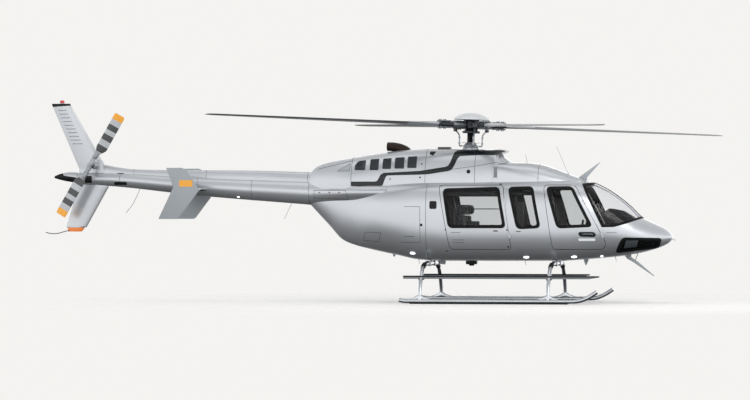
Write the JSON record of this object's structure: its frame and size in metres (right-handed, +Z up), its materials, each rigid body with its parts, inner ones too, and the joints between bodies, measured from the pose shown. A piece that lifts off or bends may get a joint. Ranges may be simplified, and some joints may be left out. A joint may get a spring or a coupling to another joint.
{
  "type": "helicopter",
  "caption": "Light single-engine passenger helicopter on skid landing gear, with a multi-blade main rotor, hinged cabin doors, a long tail boom, fins and a two-blade tail rotor.",
  "frame": {"origin": "on the ground under the middle of the whole aircraft's length and width, rotor blades included", "axes": "+X to the nose, +Y to port (left), +Z up"},
  "size_m": [11.4703, 8.1022, 3.4553],
  "materials": {
    "silver_paint": "gloss",
    "window_glass": "clear tinted",
    "black_paint": "satin",
    "bare_metal": "satin",
    "seat_fabric": "matt",
    "blade_grey": "satin",
    "pale_grey": "satin",
    "red_lens": "clear"
  },
  "bodies": {
    "airframe": {"cabin_frame": "silver_paint", "nose": "silver_paint", "rear_fuselage": "silver_paint", "side_panel_right": "silver_paint", "aft_fairing": "silver_paint", "engine_cowl": "silver_paint", "transmission_cowl": "silver_paint", "roof_fairing": "silver_paint", "tail_boom": "silver_paint", "drive_shaft_cover": "silver_paint", "upper_fin": "silver_paint", "lower_fin": "silver_paint", "tail_cone": "silver_paint", "stabiliser": "silver_paint", "endplate_left": "silver_paint", "endplate_right": "silver_paint", "middle_window_right": "window_glass", "windshield_left": "window_glass", "windshield_right": "window_glass", "chin_window_left": "window_glass", "chin_window_right": "window_glass", "exhaust_duct": "black_paint", "tail_gearbox": "black_paint", "tail_skid": "black_paint", "wire_cutter_lower": "black_paint", "wire_cutter_upper": "black_paint", "belly_hook": "black_paint", "instrument_console": "black_paint", "engine_and_transmission": "bare_metal", "cross_tube_aft": "bare_metal", "cross_tube_front": "bare_metal", "skid_left": "bare_metal", "skid_right": "bare_metal", "front_seat_left": "seat_fabric", "front_seat_right": "seat_fabric", "middle_seat": "seat_fabric", "rear_seat": "seat_fabric", "step_left": "pale_grey", "step_right": "pale_grey", "beacon": "red_lens"},
    "main_rotor": {"main_rotor_hub": "black_paint", "rotor_dome": "pale_grey", "main_blade_1": "blade_grey", "main_blade_2": "blade_grey", "main_blade_3": "blade_grey", "main_blade_4": "blade_grey"},
    "tail_rotor": {"tail_rotor_hub": "black_paint", "tail_blade_1": "pale_grey", "tail_blade_2": "pale_grey"},
    "crew_door_right": {"crew_door_right": "silver_paint", "crew_window_right": "window_glass"},
    "crew_door_left": {"crew_door_left": "silver_paint", "crew_window_left": "window_glass"},
    "aft_door_right": {"aft_door_right": "silver_paint", "aft_window_right": "window_glass"},
    "aft_door_left": {"aft_door_left": "silver_paint", "aft_window_left": "window_glass"},
    "middle_door_left": {"middle_door_left": "silver_paint", "middle_window_left": "window_glass"}
  },
  "joints": [
    {"name": "main_rotor_turn", "type": "hinge", "parent": "airframe", "child": "main_rotor", "pos_m": [1.665, 0, 3], "axis": [0.0349, 0, 0.9994], "continuous": true},
    {"name": "tail_rotor_turn", "type": "hinge", "parent": "airframe", "child": "tail_rotor", "pos_m": [-4.88, -0.35, 2.33], "axis": [0, -1, 0], "continuous": true},
    {"name": "crew_door_right_hinge", "type": "hinge", "parent": "airframe", "child": "crew_door_right", "pos_m": [4.028, -0.702, 1.02], "axis": [-0.4688, 0, 0.8833], "range_deg": [0, 75]},
    {"name": "crew_door_left_hinge", "type": "hinge", "parent": "airframe", "child": "crew_door_left", "pos_m": [4.028, 0.702, 1.02], "axis": [0.4688, 0, -0.8833], "range_deg": [0, 75]},
    {"name": "aft_door_right_hinge", "type": "hinge", "parent": "airframe", "child": "aft_door_right", "pos_m": [2.448, -0.774, 0.9], "axis": [-0.1352, 0, 0.9908], "range_deg": [0, 75]},
    {"name": "aft_door_left_hinge", "type": "hinge", "parent": "airframe", "child": "aft_door_left", "pos_m": [2.448, 0.774, 0.9], "axis": [0.1352, 0, -0.9908], "range_deg": [0, 75]},
    {"name": "middle_door_left_hinge", "type": "hinge", "parent": "airframe", "child": "middle_door_left", "pos_m": [3.1, 0.772, 0.9], "axis": [0.1459, 0, -0.9893], "range_deg": [0, 75]}
  ]
}
